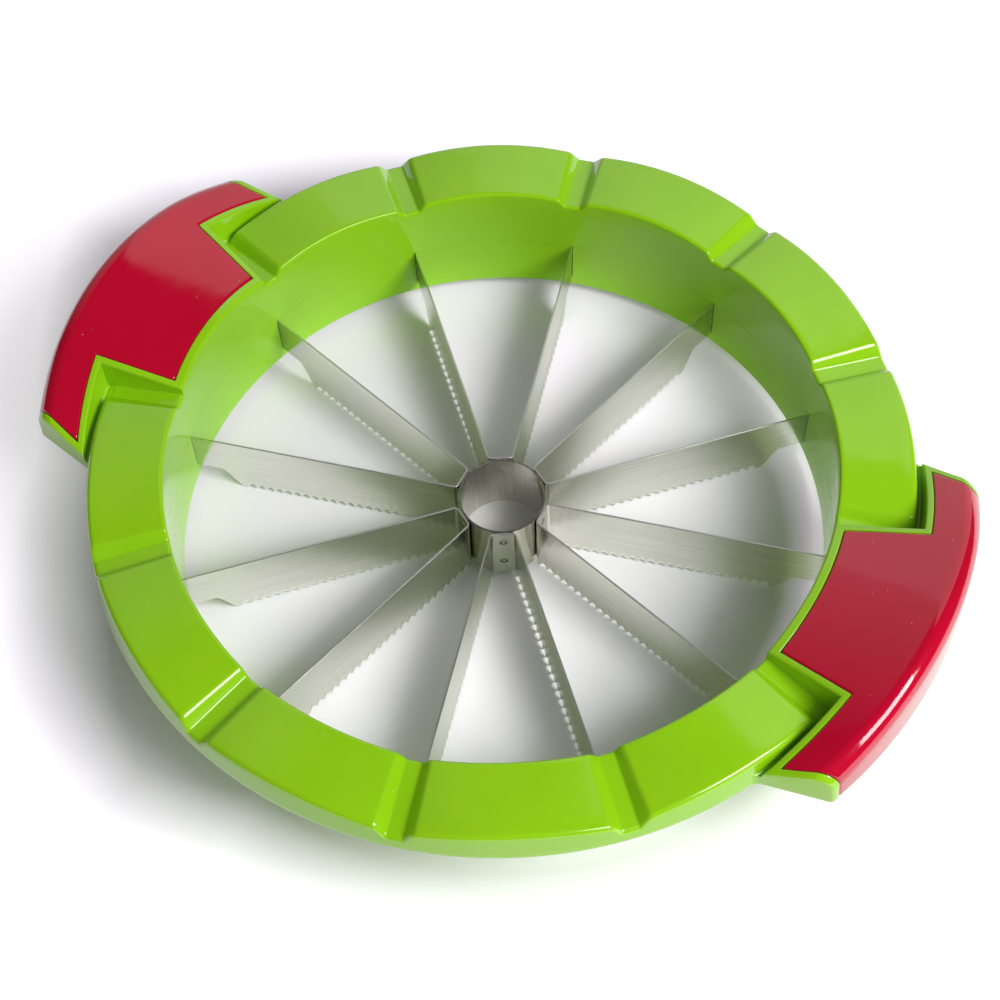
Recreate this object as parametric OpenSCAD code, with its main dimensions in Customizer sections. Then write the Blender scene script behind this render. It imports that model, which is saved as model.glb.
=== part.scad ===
// Watermelon slicer: a two-part plastic ring with two grips holds a star of twelve serrated steel blades.
// Millimetres. The origin is on the core tube's axis at the lower edge of the blades, +X points at one grip.

/* [Ring] */
// Diameter of the opening that the melon passes through
opening_d = 282; // [250:1:310]
// Height of the ring, from its lower edge to the crest of a rim segment
ring_h = 59.4; // [54:0.2:68]
// Thickness of the ring's walls
wall_t = 3; // [2.4:0.1:3.6]
// Width of the rim seen from above
rim_w = 31.5; // [28:0.5:38]
// Height of the rim's outer skirt
skirt_h = 14.1; // [12.6:0.1:16]
// How far the skirt's lower edge flares out
skirt_flare = 2.1; // [1:0.1:2.4]
// Radius of the crown along each rim segment
crown_r = 240; // [210:5:400]
// Rounding of the rim's outer edge
rim_edge_r = 2.6; // [1.5:0.1:3]
// Rounding of the rim's inner edge
opening_edge_r = 1.4; // [0.8:0.1:1.8]
// Width of the floor of the notches between the rim segments
notch_floor_w = 7; // [6:0.2:8]
// Run of the slope on each side of a notch
notch_slope_w = 2.8; // [2:0.1:3.6]
// Depth of the notches at the opening
notch_d = 3.5; // [2.5:0.1:4]
// How much deeper the notches are at the skirt
notch_fall = 1.4; // [0.5:0.1:1.8]
// Width of the solid rib that stays under each notch
notch_rib_w = 18; // [16:0.5:22]

/* [Blades] */
// Height of the blades and of the core tube
blade_h = 32.5; // [28:0.5:36]
// Sheet thickness of the blades
blade_t = 0.8; // [0.6:0.1:1.2]
// How far the serrated edge hangs below the ring
blade_drop = 6; // [4:0.5:8]
// Outside diameter of the core tube
tube_d = 38; // [34:0.5:44]
// Wall of the core tube
tube_wall = 1; // [0.8:0.1:1.5]
// Inside radius of the bends beside the core tube
bend_r = 1.6; // [1.2:0.1:2.4]
// Height of the narrow tab at the blade's outer end
tab_h = 21; // [16:0.5:24]
// Length of the tab inside the opening
tab_reach = 12; // [8:0.5:16]
// Run of the sloped step between the serrated edge and the tab
step_run = 8; // [6:0.5:12]
// Pitch of the serration
tooth_pitch = 4.2; // [3:0.1:6]
// Depth of the serration
tooth_d = 1.2; // [0.8:0.1:1.8]
// Plain length of edge beside the core tube
plain_edge = 3.5; // [3.5:0.5:14]
// Depth of the pocket behind the wall that takes the tab's end
tab_pocket = 2.6; // [1.6:0.2:4]
// Width of the thickening round each blade slot
slot_boss_w = 8; // [6:0.5:10]

/* [Grips] */
// Length of a grip along the rim
grip_l = 160; // [130:1:180]
// Width of the channel between the rim and the grip
channel_w = 3.6; // [3.2:0.1:5]
// Distance from the channel to the grip's outer wall
grip_w = 22; // [18:0.5:28]
// How far the grip's outer wall flares out from its edge down to its foot
grip_flare = 0.8; // [0.4:0.1:1.5]
// Slope of the grip's top, rising outwards
grip_tilt = 17.4; // [12:0.2:20]
// Height of the grip's crest above the rim, at the opening
grip_rise = 1.5; // [0.5:0.1:3]
// Radius of the crown along the grip
grip_crown_r = 287; // [260:1:360]
// Rounding of the grip's outer edge
grip_edge_r = 6.5; // [6:0.5:9]
// Angle of the grip's ends against its middle line
grip_end_tilt = 11.4; // [6:0.2:16]
// Fillet between the grip's ends and the skirt
grip_fillet_r = 5; // [3:0.5:8]
// Width of the lip round the grip cap
lip_w = 2.8; // [2.2:0.1:3.4]
// Width of the lip at the opening
inner_lip_w = 4; // [3.4:0.1:5]
// Thickness of the grip cap
cap_t = 2.8; // [2.2:0.1:3.4]
// How far the cap's foot stays above the foot of the grip
cap_foot = 1.6; // [1:0.2:3]
// Thickness of the plate under the cap
plate_t = 2.6; // [2:0.1:3.2]

/* [Fasteners] */
// Thread diameter of all the screws
screw_d = 3; // [2.5:0.1:3.5]
// Head diameter of the screws
screw_head_d = 8.6; // [7.6:0.2:9.4]
// Head height of the screws
screw_head_h = 2.4; // [1.8:0.1:3]
// Length of the ring screws under the head
ring_screw_l = 16; // [12:0.5:20]
// Diameter of the posts that take the ring screws
post_d = 9; // [8:0.2:11]
// Thickness of the ears on the lower ring
ear_t = 4; // [3:0.2:5]
// Diameter of the bosses on the grip caps
cap_boss_d = 6.4; // [5.6:0.1:7]
// Half angle between the two bosses of a cap, seen from the core tube
cap_boss_angle = 13; // [10:0.5:15]

/* [Hidden] */
$fn = 96;
crown_fn = 180;

// Clearances: loose parts, faces that are welded or screwed up tight, and cuts that pass a surface
fit = 0.15;
contact = 0.05;
eps = 0.5;
far = 400;

blade_count = 12;
pair_count = blade_count / 2;
pitch_angle = 360 / blade_count;
half_pitch = pitch_angle / 2;

opening_r = opening_d / 2;
rim_r = opening_r + rim_w;
skirt_r = rim_r + skirt_flare;
ring_low_z = blade_drop;
rim_z = ring_low_z + ring_h;
skirt_low_z = rim_z - skirt_h;
parting_z = blade_h;

// The notch floor lies below the ends of the crowned segments, and falls outwards
function crown_drop(x) = crown_r - sqrt(crown_r * crown_r - x * x);
notch_half_w = notch_floor_w / 2 + notch_slope_w;
function end_drop(r) = crown_drop(r * sin(half_pitch) - notch_half_w);
notch_in_z = rim_z - end_drop(opening_r) - notch_d;
notch_out_z = rim_z - end_drop(skirt_r) - notch_d - notch_fall;
notch_tilt = atan((notch_in_z - notch_out_z) / (skirt_r - opening_r));
rim_facets = [30, 60];
ceiling_z = notch_out_z - wall_t;
pocket_z = rim_z - end_drop(rim_r) - wall_t;
hollow_in_r = opening_r + wall_t;
hollow_out_r = rim_r - wall_t;

stem_gap = notch_floor_w / 2 - fit;
grip_in_r = skirt_r + channel_w - skirt_flare;
grip_out_r = grip_in_r + grip_w;
channel_z = notch_out_z - fit;
grip_crest_z = rim_z + grip_rise;
grip_corner_x = sqrt(grip_in_r * grip_in_r - grip_l * grip_l / 4);
grip_end = grip_corner_x * sin(grip_end_tilt) + grip_l / 2 * cos(grip_end_tilt);
cap_wall_r = grip_out_r - cap_t;
edge_center_x = grip_out_r - grip_edge_r;
edge_center_z = grip_crest_z + (edge_center_x - opening_r) * tan(grip_tilt) - grip_edge_r / cos(grip_tilt);
// The grip's rounded edge runs nearly in one plane; this is how it falls with the square of the distance
edge_fall = tan(grip_tilt) / (2 * grip_out_r) + 1 / (2 * grip_crown_r * cos(grip_tilt));
facet_count = 4;
edge_facets = [for (i = [1 : facet_count]) i * (90 + grip_tilt) / (facet_count + 1) - grip_tilt];
fillet_y = grip_end + grip_fillet_r - contact;
fillet_r = skirt_r + grip_fillet_r - contact;
fillet_x = sqrt(fillet_r * fillet_r - fillet_y * fillet_y);
fillet_in_r = rim_r - wall_t / 2;

blade_in_x = tube_d / 2 + contact;
blade_out_r = opening_r + wall_t + tab_pocket - fit;
tab_z = blade_h - tab_h;
tab_in_r = opening_r - tab_reach;
step_in_r = tab_in_r - step_run;
teeth_in_r = tube_d / 2 + plain_edge;
tooth_count = floor((step_in_r - teeth_in_r) / tooth_pitch);
tooth_land = tooth_pitch / 16;
scallop_steps = 4;
slot_w = blade_t + 2 * fit;
bend_steps = 6;
bend_out_r = bend_r + blade_t;
bend_x = blade_in_x + bend_out_r;
bend_y = (blade_t / 2 - bend_out_r + bend_x * sin(half_pitch)) / cos(half_pitch);

post_gap = 1;
post_r = opening_r + wall_t + post_d / 2 + post_gap;
ear_margin = 1;
post_angles = [for (i = [0 : pair_count - 1]) pitch_angle * (2 * i + 1)];
pilot_d = screw_d + 2 * contact;
pass_d = screw_d + 4 * fit;
cap_boss_r = (grip_in_r + cap_wall_r) / 2;
boss_x = cap_boss_r * cos(cap_boss_angle);
boss_y = cap_boss_r * sin(cap_boss_angle);
boss_top_z = grip_crest_z + (boss_x - opening_r) * tan(grip_tilt)
    - boss_y * boss_y / (2 * grip_crown_r * cos(grip_tilt));
seat_d = screw_head_d + 2 * lip_w;
seat_z = boss_top_z - (cap_t + plate_t) / cos(grip_tilt) - seat_d / 2;
grip_screw_l = boss_top_z - cap_t - seat_z;

plastic_green = "yellowgreen";
plastic_red = "crimson";
steel = "lightgray";
screw_steel = "gray";

// Sector of the plane round the X axis between two lines that run beside the blades' own lines
module stem_plan(offset_in) {
    apex = offset_in / sin(half_pitch);
    polygon([[apex, 0], [far, (far - apex) * tan(half_pitch)], [far, -(far - apex) * tan(half_pitch)]]);
}

module annulus_plan(r_in, r_out) {
    difference() {
        circle(r = r_out);
        circle(r = r_in);
    }
}

// Part of the plane between the two end lines of a grip
module grip_ends_plan(inset) {
    at_axis = (grip_end - inset) / cos(grip_end_tilt);
    at_far = at_axis - far * tan(grip_end_tilt);
    polygon([[0, at_axis], [far, at_far], [far, -at_far], [0, -at_axis]]);
}

// T-shaped outline of a grip: a stem across the rim and two wings along it
module grip_plan(r_stem, r_out, inset) {
    intersection() {
        annulus_plan(r_stem, grip_in_r + inset + eps);
        stem_plan(stem_gap + inset);
    }
    intersection() {
        annulus_plan(grip_in_r + inset, r_out);
        grip_ends_plan(inset);
    }
}

// Everything below the grip's crowned top and its rounded outer edge, moved inwards by inset
module below_grip_top(inset) {
    intersection() {
        translate([opening_r, 0, grip_crest_z])
            rotate([0, 90 - grip_tilt, 0])
                translate([grip_crown_r, 0, -far / 2])
                    cylinder(r = grip_crown_r - inset, h = far, $fn = crown_fn);
        intersection_for (a = edge_facets) {
            facet_r = 0.5 / (sin(a) / (2 * grip_out_r) + edge_fall * cos(a));
            translate([edge_center_x, 0, edge_center_z])
                rotate([0, 90 + a, 0])
                    translate([facet_r - grip_edge_r, 0, -far / 2])
                        cylinder(r = facet_r - inset, h = far, $fn = crown_fn);
        }
    }
}

// Everything inside the grip's flared outer wall, moved inwards by inset
module inside_grip_wall(inset) {
    wall_h = edge_center_z - skirt_low_z;
    translate([0, 0, skirt_low_z - eps])
        cylinder(r1 = grip_out_r + grip_flare * (1 + eps / wall_h) - inset, r2 = grip_out_r - inset,
            h = wall_h + eps);
    translate([0, 0, edge_center_z - contact])
        cylinder(r = grip_out_r - inset, h = far);
}

module grip_solid(r_stem, inset, depth, low_z) {
    intersection() {
        translate([0, 0, low_z])
            linear_extrude(height = far / 2)
                grip_plan(r_stem, grip_out_r + 2 * grip_flare, inset);
        below_grip_top(depth);
        inside_grip_wall(depth);
    }
}

// Rim with a rounded inner edge and a hollow underside
// It stands a little into the opening, which is cut last
module rim_blank() {
    rotate_extrude()
        difference() {
            polygon([[opening_r - eps, parting_z], [opening_r - eps, rim_z], [rim_r, rim_z],
                [skirt_r, skirt_low_z], [hollow_out_r, skirt_low_z], [hollow_out_r, ceiling_z],
                [hollow_in_r, ceiling_z], [hollow_in_r, parting_z]]);
            translate([opening_r - contact, rim_z - opening_edge_r])
                difference() {
                    translate([-2 * eps, 0])
                        square([opening_edge_r + 2 * eps, opening_edge_r + eps]);
                    translate([opening_edge_r, 0])
                        circle(r = opening_edge_r);
                }
        }
}

module sector_plan(half_angle, r_in, r_out) {
    intersection() {
        annulus_plan(r_in, r_out);
        polygon([[0, 0], [far, far * tan(half_angle)], [far, -far * tan(half_angle)]]);
    }
}

// Everything below the crowned top and the rounded outer edge of one rim segment
module below_segment_top() {
    intersection() {
        translate([0, 0, rim_z - crown_r])
            rotate([0, 90, 0])
                cylinder(r = crown_r, h = far, $fn = crown_fn);
        intersection_for (a = rim_facets) {
            facet_r = 0.5 / (sin(a) / (2 * rim_r) + cos(a) / (2 * crown_r));
            translate([rim_r - rim_edge_r, 0, rim_z - rim_edge_r])
                rotate([0, 90 + a, 0])
                    translate([facet_r - rim_edge_r, 0, -far / 2])
                        cylinder(r = facet_r, h = far, $fn = crown_fn);
        }
    }
}

// Takes off what stands above the top of one rim segment
module crown_cut() {
    difference() {
        translate([0, 0, rim_z - skirt_h / 2])
            linear_extrude(height = skirt_h)
                sector_plan(half_pitch, opening_r - 2 * eps, skirt_r + eps);
        below_segment_top();
    }
}

// Groove across the rim with a flat floor and sloped sides
module notch_cut() {
    rise = notch_d * 3;
    spread = notch_slope_w * rise / notch_d;
    translate([opening_r, 0, notch_in_z])
        rotate([0, 90 + notch_tilt, 0])
            translate([0, 0, -rim_w / 2])
                linear_extrude(height = rim_w * 2)
                    polygon([[0, -notch_floor_w / 2], [-rise, -notch_floor_w / 2 - spread],
                        [-rise, notch_floor_w / 2 + spread], [0, notch_floor_w / 2]]);
}

// Clears the rim between the two notches beside a grip, down to their floor
module grip_clearing() {
    for (side = [-1, 1])
        rotate([0, 0, side * half_pitch])
            notch_cut();
    translate([0, 0, notch_out_z])
        linear_extrude(height = skirt_h * 2)
            intersection() {
                annulus_plan(opening_r - 2 * eps, skirt_r + eps);
                stem_plan(stem_gap + lip_w / 2);
            }
}

module at_each_grip() {
    for (a = [0, 180])
        rotate([0, 0, a])
            children();
}

// Deeper hollow between two of the ribs that carry the notches
module rim_pocket() {
    translate([0, 0, ceiling_z - eps])
        linear_extrude(height = pocket_z - ceiling_z + eps)
            intersection() {
                annulus_plan(hollow_in_r + fit, hollow_out_r - fit);
                stem_plan(notch_rib_w / 2);
            }
}

function is_grip_sector(i) = i % pair_count == 0;

module rim() {
    difference() {
        rim_blank();
        for (i = [0 : blade_count - 1])
            if (!is_grip_sector(i))
                rotate([0, 0, i * pitch_angle])
                    crown_cut();
        for (i = [0 : blade_count - 1])
            if (!is_grip_sector(i) && !is_grip_sector(i + 1))
                rotate([0, 0, (i + 0.5) * pitch_angle])
                    notch_cut();
        at_each_grip()
            grip_clearing();
        for (i = [0 : blade_count - 1])
            if (!is_grip_sector(i))
                rotate([0, 0, i * pitch_angle])
                    rim_pocket();
    }
}

// Floor of the channel that joins a grip's wings to the skirt
module channel_floor() {
    translate([0, 0, skirt_low_z])
        linear_extrude(height = channel_z - skirt_low_z)
            intersection() {
                annulus_plan(hollow_out_r + fit, grip_in_r + lip_w / 2);
                grip_ends_plan(0);
            }
}

// Fillets that lead a grip's end faces into the skirt
module end_fillets() {
    scale_in = fillet_in_r / fillet_r;
    inside_y = grip_end - lip_w / 2;
    for (side = [0, 1])
        mirror([0, side, 0])
            rotate([0, 0, -grip_end_tilt])
                translate([0, 0, skirt_low_z + eps])
                    linear_extrude(height = channel_z - skirt_low_z - 2 * eps)
                        difference() {
                            polygon([[fillet_x, inside_y], [fillet_x, fillet_y],
                                [fillet_x * scale_in, fillet_y * scale_in],
                                [sqrt(pow(fillet_in_r, 2) - pow(inside_y, 2)), inside_y]]);
                            translate([fillet_x, fillet_y])
                                circle(r = grip_fillet_r);
                        }
}

// Room for the cap, around the plate that carries it
module cap_recess() {
    difference() {
        translate([0, 0, skirt_low_z - eps])
            linear_extrude(height = far)
                grip_plan(opening_r + inner_lip_w - fit, grip_out_r + 2 * grip_flare, lip_w - fit);
        intersection() {
            translate([0, 0, skirt_low_z - far / 2])
                linear_extrude(height = far)
                    grip_plan(opening_r, grip_out_r + grip_flare, 0);
            below_grip_top(cap_t + fit);
            inside_grip_wall(cap_t + fit);
        }
    }
}

// Hollow under the plate, open at the foot
module grip_hollow() {
    depth = cap_t + fit + plate_t;
    intersection() {
        translate([0, 0, skirt_low_z - eps])
            linear_extrude(height = far)
                grip_plan(hollow_in_r + fit, grip_out_r, lip_w);
        below_grip_top(depth);
        inside_grip_wall(depth);
    }
}

module at_cap_bosses(z) {
    for (side = [-1, 1])
        translate([boss_x, side * boss_y, z])
            children();
}

// Flat seat under the plate for a grip screw's head
module screw_seat() {
    intersection() {
        at_cap_bosses(seat_z)
            cylinder(d = seat_d, h = far);
        below_grip_top(cap_t + fit);
        inside_grip_wall(cap_t + fit);
    }
}

module at_posts(z) {
    for (a = post_angles)
        rotate([0, 0, a])
            translate([post_r, 0, z])
                children();
}

module upper_ring() {
    color(plastic_green)
        difference() {
            union() {
                difference() {
                    union() {
                        rim();
                        at_each_grip() {
                            grip_solid(opening_r - 2 * eps, 0, 0, skirt_low_z);
                            channel_floor();
                            end_fillets();
                        }
                    }
                    at_each_grip() {
                        cap_recess();
                        grip_hollow();
                    }
                }
                at_posts(parting_z)
                    cylinder(d = post_d, h = pocket_z - parting_z + contact);
                at_each_grip()
                    screw_seat();
            }
            translate([0, 0, parting_z - eps])
                cylinder(r = opening_r, h = ring_h);
            at_posts(parting_z - eps)
                cylinder(d = pilot_d, h = ring_screw_l - ear_t + eps + fit);
            at_each_grip()
                at_cap_bosses(seat_z - eps)
                    cylinder(d = cap_boss_d + 2 * fit, h = far / 2);
        }
}

// Thickening behind the wall that takes a blade's tab
module slot_boss() {
    translate([opening_r + wall_t / 2, -slot_boss_w / 2, tab_z - wall_t])
        cube([wall_t / 2 + tab_pocket + wall_t / 2, slot_boss_w, parting_z - tab_z + wall_t]);
}

module blade_slot() {
    translate([opening_r - eps, -slot_w / 2, tab_z - contact])
        cube([wall_t + tab_pocket + eps, slot_w, tab_h + eps]);
}

module ring_ear() {
    translate([0, 0, parting_z - ear_t])
        linear_extrude(height = ear_t) {
            translate([post_r, 0])
                circle(d = post_d + 2 * ear_margin);
            translate([opening_r + wall_t / 2, -post_d / 2 - ear_margin])
                square([post_r - opening_r - wall_t / 2, post_d + 2 * ear_margin]);
        }
}

module lower_ring() {
    color(plastic_green)
        difference() {
            union() {
                translate([0, 0, ring_low_z])
                    linear_extrude(height = parting_z - ring_low_z)
                        annulus_plan(opening_r, opening_r + wall_t);
                for (i = [0 : blade_count - 1])
                    rotate([0, 0, (i + 0.5) * pitch_angle])
                        slot_boss();
                for (a = post_angles)
                    rotate([0, 0, a])
                        ring_ear();
            }
            for (i = [0 : blade_count - 1])
                rotate([0, 0, (i + 0.5) * pitch_angle])
                    blade_slot();
            at_posts(parting_z - ear_t - eps)
                cylinder(d = pass_d, h = ear_t + 2 * eps);
        }
}

// Shell that covers a grip's top and outer wall, with two screw bosses under it
module grip_cap() {
    color(plastic_red)
        difference() {
            union() {
                difference() {
                    grip_solid(opening_r + inner_lip_w, lip_w, 0, skirt_low_z + cap_foot);
                    intersection() {
                        translate([0, 0, skirt_low_z - eps])
                            linear_extrude(height = far)
                                grip_plan(opening_r, grip_out_r, 0);
                        below_grip_top(cap_t);
                        inside_grip_wall(cap_t);
                    }
                }
                intersection() {
                    at_cap_bosses(seat_z + fit)
                        cylinder(d = cap_boss_d, h = far / 2);
                    below_grip_top(cap_t / 2);
                }
            }
            at_cap_bosses(seat_z - eps)
                cylinder(d = pilot_d, h = grip_screw_l - cap_t + eps);
        }
}

module grip_cap_right() {
    grip_cap();
}

module grip_cap_left() {
    rotate([0, 0, 180])
        grip_cap();
}

module core_tube() {
    color(steel)
        linear_extrude(height = blade_h)
            annulus_plan(tube_d / 2 - tube_wall, tube_d / 2);
}

// Points of one bend, from the bridge to the blade; side is 1 or -1
function bend_points(r, side) = [for (i = [0 : bend_steps])
    let (a = 180 - i * (90 - half_pitch) / bend_steps)
    [bend_x + r * cos(a), side * (bend_y + r * sin(a))]];
function blade_end(away, side) = [blade_out_r * cos(half_pitch) - away * sin(half_pitch),
    side * (blade_out_r * sin(half_pitch) + away * cos(half_pitch))];
function reversed(points) = [for (i = [len(points) - 1 : -1 : 0]) points[i]];

// Plan of a bent strip: a bridge against the tube and two blades that run out along the radial lines
module pair_plan() {
    half_t = blade_t / 2;
    polygon(concat([blade_end(half_t, -1)], reversed(bend_points(bend_out_r, -1)), bend_points(bend_out_r, 1),
        [blade_end(half_t, 1), blade_end(-half_t, 1)], reversed(bend_points(bend_r, 1)),
        bend_points(bend_r, -1), [blade_end(-half_t, -1)]));
}

// Outline, in radius and height, of what is cut away under a blade: scallops with a narrow land between
// them, then the step and the tab
module edge_cut_plan() {
    scallops = [for (i = [0 : tooth_count - 1], j = [-1 : scallop_steps + 1])
        let (u = min(max(j, 0), scallop_steps) / scallop_steps, outside = j < 0 || j > scallop_steps)
        [teeth_in_r + i * tooth_pitch + tooth_land + u * (tooth_pitch - 2 * tooth_land),
            outside ? -eps : tooth_d * sin(180 * u)]];
    polygon(concat([[teeth_in_r, -2 * eps]], scallops,
        [[step_in_r, -eps], [step_in_r, 0], [tab_in_r, tab_z], [blade_out_r + eps, tab_z],
            [blade_out_r + eps, -2 * eps]]));
}

module blade_pair() {
    color(steel)
        difference() {
            linear_extrude(height = blade_h)
                pair_plan();
            for (side = [-1, 1])
                rotate([0, 0, side * half_pitch])
                    rotate([90, 0, 0])
                        translate([0, 0, -2 * blade_t])
                            linear_extrude(height = 4 * blade_t)
                                edge_cut_plan();
        }
}

module blade_pair_at(i) {
    rotate([0, 0, 2 * i * pitch_angle])
        blade_pair();
}

// Pan-head screw with its head's bearing face at z = 0
module pan_screw(length) {
    cylinder(d = screw_d, h = length);
    translate([0, 0, -screw_head_h])
        cylinder(d1 = screw_head_d - screw_head_h, d2 = screw_head_d, h = screw_head_h / 2);
    translate([0, 0, -screw_head_h / 2])
        cylinder(d = screw_head_d, h = screw_head_h / 2);
}

module ring_screws() {
    color(screw_steel)
        at_posts(parting_z - ear_t)
            pan_screw(ring_screw_l);
}

module grip_screws() {
    color(screw_steel)
        at_each_grip()
            at_cap_bosses(seat_z)
                pan_screw(grip_screw_l - cap_t - eps);
}

upper_ring();
lower_ring();
grip_cap_right();
grip_cap_left();
core_tube();
blade_pair_at(0);  // blade_pair_1
blade_pair_at(1);  // blade_pair_2
blade_pair_at(2);  // blade_pair_3
blade_pair_at(3);  // blade_pair_4
blade_pair_at(4);  // blade_pair_5
blade_pair_at(5);  // blade_pair_6
ring_screws();
grip_screws();
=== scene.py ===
"""Watermelon slicer: looks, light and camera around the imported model.

Metres, in the frame of the model. The sizes of the parts are named in millimetres.
"""

import dataclasses
import functools
import math

import bmesh
import bpy
from mathutils import Matrix, Vector


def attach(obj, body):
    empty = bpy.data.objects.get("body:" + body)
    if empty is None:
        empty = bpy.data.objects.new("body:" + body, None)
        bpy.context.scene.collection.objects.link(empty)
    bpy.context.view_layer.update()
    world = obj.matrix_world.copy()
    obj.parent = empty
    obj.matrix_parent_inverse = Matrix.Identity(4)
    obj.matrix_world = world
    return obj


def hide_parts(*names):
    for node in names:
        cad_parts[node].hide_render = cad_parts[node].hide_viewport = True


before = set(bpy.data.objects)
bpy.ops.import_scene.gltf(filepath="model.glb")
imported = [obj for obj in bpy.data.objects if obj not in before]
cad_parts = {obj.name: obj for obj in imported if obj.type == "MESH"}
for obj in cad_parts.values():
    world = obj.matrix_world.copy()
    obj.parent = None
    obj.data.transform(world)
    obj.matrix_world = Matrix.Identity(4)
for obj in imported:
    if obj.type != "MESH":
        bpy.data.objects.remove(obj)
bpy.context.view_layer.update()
MM = 0.001
WHITE = (1, 1, 1, 1)


def linear(r, g, b):
    """Scene colour of an sRGB colour given in 0 to 255."""
    def channel(v):
        v /= 255
        return v / 12.92 if v <= 0.04045 else ((v + 0.055) / 1.055) ** 2.4
    return (channel(r), channel(g), channel(b), 1)


class Graph:
    """A short way to write a material's nodes."""

    def __init__(self, tree):
        self.tree = tree

    def node(self, kind, **values):
        made = self.tree.nodes.new(kind)
        for name, value in values.items():
            setattr(made, name, value)
        return made

    def put(self, socket, value):
        if isinstance(value, bpy.types.NodeSocket):
            self.tree.links.new(value, socket)
        else:
            socket.default_value = value

    def math(self, operation, a, b=0.0, clamp=False):
        made = self.node("ShaderNodeMath", operation=operation, use_clamp=clamp)
        self.put(made.inputs[0], a)
        self.put(made.inputs[1], b)
        return made.outputs[0]

    def add(self, a, b, clamp=False):
        return self.math("ADD", a, b, clamp)

    def sub(self, a, b):
        return self.math("SUBTRACT", a, b)

    def mul(self, a, b):
        return self.math("MULTIPLY", a, b)

    def length(self, a, b):
        """Length of the flat vector that has these two parts."""
        return self.math("SQRT", self.add(self.mul(a, a), self.mul(b, b)))

    def mix(self, factor, a, b):
        made = self.node("ShaderNodeMix", data_type="RGBA")
        self.put(made.inputs[0], factor)
        self.put(made.inputs[6], a)
        self.put(made.inputs[7], b)
        return made.outputs[2]

    def ramp(self, value, low, high, to_low=0.0, to_high=1.0):
        made = self.node("ShaderNodeMapRange", clamp=True)
        self.put(made.inputs[0], value)
        for i, v in enumerate((low, high, to_low, to_high)):
            self.put(made.inputs[i + 1], v)
        return made.outputs[0]

    def filled(self, kind, **values):
        """Outputs of a node whose inputs with these names are set."""
        made = self.node(kind)
        for name, value in values.items():
            self.put(made.inputs[name], value)
        return made.outputs

    def noise(self, vector, scale, detail, roughness=0.5):
        return self.filled("ShaderNodeTexNoise", Vector=vector, Scale=scale, Detail=detail,
                           Roughness=roughness)[0]

    def cells(self, vector, scale):
        return self.filled("ShaderNodeTexVoronoi", Vector=vector, Scale=scale)

    def bump(self, height, strength, distance, **normal):
        return self.filled("ShaderNodeBump", Height=height, Strength=strength, Distance=distance,
                           **normal)[0]

    def place(self):
        return self.node("ShaderNodeTexCoord").outputs["Object"]

    def split(self, vector):
        made = self.node("ShaderNodeSeparateXYZ")
        self.put(made.inputs[0], vector)
        return made.outputs

    def join(self, x, y, z):
        made = self.node("ShaderNodeCombineXYZ")
        for i, v in enumerate((x, y, z)):
            self.put(made.inputs[i], v)
        return made.outputs[0]

    def stretched(self, parts, scales):
        """Place for a noise that is drawn out: each part has a scale of its own."""
        return self.join(*(self.mul(part, scale) for part, scale in zip(parts, scales)))


def new_material(name):
    """A material, its graph, and a way to put a value on an input of its shader."""
    made = bpy.data.materials.new(name)
    made.use_nodes = True
    g = Graph(made.node_tree)
    shader = made.node_tree.nodes["Principled BSDF"]
    return made, g, lambda key, value: g.put(shader.inputs[key], value)


# Sizes of the steel parts in millimetres: as in the model, but the teeth are cut deeper and ground
HALF_PITCH, PAIR_PITCH = math.radians(15), math.radians(60)
BLADE_H, BLADE_T, TUBE_R, TUBE_WALL = 32.5, 0.8, 19.0, 1.0
BRIDGE_X, BEND_X, BEND_Y, BEND_MID_R = 19.45, 21.45, 3.677, 2.0
BEND_END = BEND_Y + BEND_MID_R * (math.pi / 2 - HALF_PITCH)
TEETH_IN_R, TOOTH_PITCH, TOOTH_COUNT, TOOTH_D = 22.5, 4.2, 23, 2.0
TEETH_OUT_R = TEETH_IN_R + TOOTH_PITCH * TOOTH_COUNT
STEP_IN_R, TAB_IN_R, TAB_Z, BLADE_OUT_R = 121.0, 129.0, 11.5, 146.45
TOOTH_STEPS, FACET_H, GROUND_OUT, GROUND_IN, CHAMFER = 12, 1.7, 0.55, 0.15, 0.1
SCALLOP_POWER = 0.8
WELD_HEIGHTS, WELD_R = (26.0, 11.0), 1.2

# Finish of the plastic: how fine its noises are, per metre, and how high its reliefs are, in metres
DRIFT_SCALE, WEAR_SCALE, DUST_SCALE, SUNK_SCALE, SKIN_SCALE = 18, 140, 420, 55, 900
HAIR_SCALES = (2600, 90, 400)
SUNK_H, SKIN_H, HAIR_H = 0.001, 0.0002, 0.0001
SPECK_SHARE, SPECK_ROUGH, HAIR_ROUGH = 0.55, 0.4, 0.08
DULL_SPECULAR, FULL_SPECULAR = 0.38, 0.5


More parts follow.
